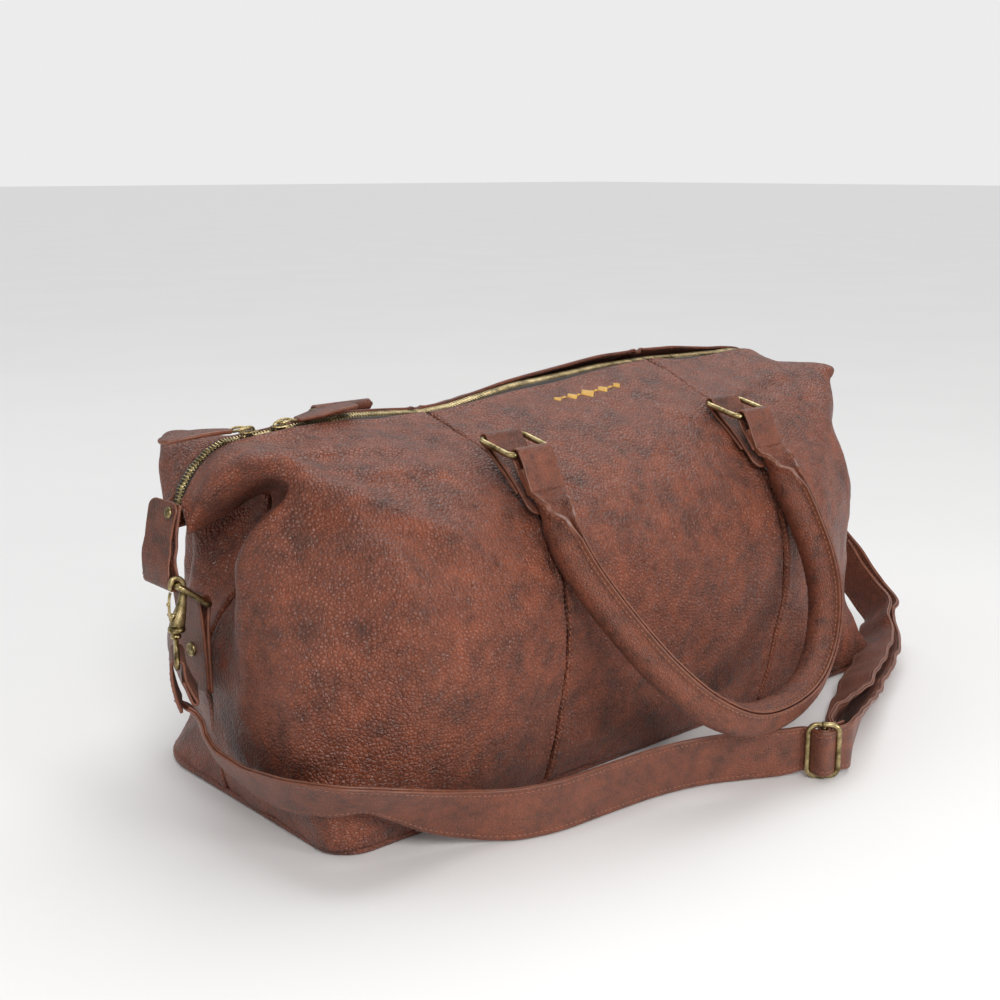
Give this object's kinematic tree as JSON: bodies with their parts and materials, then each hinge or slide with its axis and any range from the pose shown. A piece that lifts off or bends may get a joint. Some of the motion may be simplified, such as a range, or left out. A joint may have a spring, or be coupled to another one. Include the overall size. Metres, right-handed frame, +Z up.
{
  "type": "duffel bag",
  "caption": "Soft leather duffel bag with two rolled handles on rings, a two-way zip, and a clip-on shoulder strap with a slide buckle.",
  "frame": {"origin": "middle of the base panel, on the surface that the bag stands on", "axes": "+X along the bag's length, -Y towards the front where the strap lies, +Z up"},
  "size_m": [0.657, 0.4676, 0.2484],
  "materials": {
    "body_leather": "pebbled, semi-gloss, mottled reddish brown",
    "tab_leather": "smooth, semi-gloss, stitched edges",
    "handle_leather": "smooth, semi-gloss, rolled",
    "strap_leather": "smooth, semi-gloss, stitched edges",
    "antique_brass": "antique, satin",
    "zip_teeth": "antique, satin",
    "zip_tape": "woven, matte",
    "lining_fabric": "woven, matte",
    "stiffener_board": "matte",
    "handle_core": "braided, matte"
  },
  "bodies": {
    "bag": {"base_panel": "body_leather", "base_stiffener": "stiffener_board", "lining": "lining_fabric", "front_panel_left": "body_leather", "front_panel_centre": "body_leather", "front_panel_right": "body_leather", "back_panel_left": "body_leather", "back_panel_centre": "body_leather", "back_panel_right": "body_leather", "zip_chain": "zip_teeth", "zip_tape_front": "zip_tape", "zip_tape_back": "zip_tape", "front_handle_tab_left": "tab_leather", "front_handle_tab_right": "tab_leather", "back_handle_tab_left": "tab_leather", "back_handle_tab_right": "tab_leather", "upper_end_tab_left": "tab_leather", "lower_end_tab_left": "tab_leather", "end_ring_left": "antique_brass", "upper_rivet_left": "antique_brass", "lower_stud_left": "antique_brass", "upper_end_tab_right": "tab_leather", "lower_end_tab_right": "tab_leather", "end_ring_right": "antique_brass", "upper_rivet_right": "antique_brass", "lower_stud_right": "antique_brass", "strap_single_run": "strap_leather", "strap_outer_layer": "strap_leather", "strap_inner_layer": "strap_leather", "strap_bar_wrap": "strap_leather", "strap_buckle": "antique_brass"},
    "front_ring_pair": {"front_ring_left": "antique_brass", "front_ring_right": "antique_brass"},
    "front_handle": {"front_handle_cover": "handle_leather", "front_handle_core": "handle_core"},
    "back_ring_pair": {"back_ring_left": "antique_brass", "back_ring_right": "antique_brass"},
    "back_handle": {"back_handle_cover": "handle_leather", "back_handle_core": "handle_core"},
    "left_slider": {"left_zip_slider": "antique_brass"},
    "left_pull": {"left_pull_link": "antique_brass", "left_leather_pull": "tab_leather"},
    "left_strap_end": {"left_swivel_eye": "antique_brass", "left_strap_loop": "strap_leather"},
    "left_hook": {"left_hook_body": "antique_brass"},
    "left_gate": {"left_hook_gate": "antique_brass"},
    "right_slider": {"right_zip_slider": "antique_brass"},
    "right_pull": {"right_pull_link": "antique_brass", "right_leather_pull": "tab_leather"},
    "right_strap_end": {"right_swivel_eye": "antique_brass", "right_strap_loop": "strap_leather"},
    "right_hook": {"right_hook_body": "antique_brass"},
    "right_gate": {"right_hook_gate": "antique_brass"}
  },
  "joints": [
    {"name": "front_ring_swing", "type": "hinge", "parent": "bag", "child": "front_ring_pair", "pos_m": [0, -0.081, 0.226], "axis": [-1, 0, 0], "range_deg": [0, 110]},
    {"name": "front_handle_swing", "type": "hinge", "parent": "front_ring_pair", "child": "front_handle", "pos_m": [0, -0.11, 0.22], "axis": [-1, 0, 0], "range_deg": [0, 55]},
    {"name": "back_ring_swing", "type": "hinge", "parent": "bag", "child": "back_ring_pair", "pos_m": [0, 0.081, 0.226], "axis": [1, 0, 0], "range_deg": [0, 110]},
    {"name": "back_handle_swing", "type": "hinge", "parent": "back_ring_pair", "child": "back_handle", "pos_m": [0, 0.11, 0.22], "axis": [1, 0, 0], "range_deg": [0, 55]},
    {"name": "left_zip_slide", "type": "slide", "parent": "bag", "child": "left_slider", "axis": [-0.9994, 0, -0.036], "range_m": [-0.008, 0.008]},
    {"name": "left_pull_flip", "type": "hinge", "parent": "left_slider", "child": "left_pull", "pos_m": [-0.245, 0, 0.23648], "axis": [0, 1, 0], "range_deg": [0, 150]},
    {"name": "right_zip_slide", "type": "slide", "parent": "bag", "child": "right_slider", "axis": [0.9994, 0, 0.036], "range_m": [0, 0.42]},
    {"name": "right_pull_flip", "type": "hinge", "parent": "right_slider", "child": "right_pull", "pos_m": [-0.222, 0, 0.23731], "axis": [0, -1, 0], "range_deg": [0, 150]},
    {"name": "left_strap_end_swing", "type": "hinge", "parent": "bag", "child": "left_strap_end", "pos_m": [-0.309, -0.0178, 0.152], "axis": [0, 1, 0], "range_deg": [0, 25]},
    {"name": "left_hook_swivel", "type": "hinge", "parent": "left_strap_end", "child": "left_hook", "pos_m": [-0.311, -0.0178, 0.124], "axis": [0, 0, 1], "range_deg": [-4, 4]},
    {"name": "left_gate_open", "type": "hinge", "parent": "left_hook", "child": "left_gate", "pos_m": [-0.3132, -0.0178, 0.1345], "axis": [0, 1, 0], "range_deg": [0, 14], "stiffness_Nm_per_rad": 0.005, "springref_deg": -11.46},
    {"name": "right_strap_end_swing", "type": "hinge", "parent": "bag", "child": "right_strap_end", "pos_m": [0.309, -0.0178, 0.152], "axis": [0, -1, 0], "range_deg": [0, 25]},
    {"name": "right_hook_swivel", "type": "hinge", "parent": "right_strap_end", "child": "right_hook", "pos_m": [0.311, -0.0178, 0.124], "axis": [0, 0, 1], "range_deg": [-4, 4]},
    {"name": "right_gate_open", "type": "hinge", "parent": "right_hook", "child": "right_gate", "pos_m": [0.3132, -0.0178, 0.1345], "axis": [0, -1, 0], "range_deg": [0, 14], "stiffness_Nm_per_rad": 0.005, "springref_deg": -11.46}
  ]
}
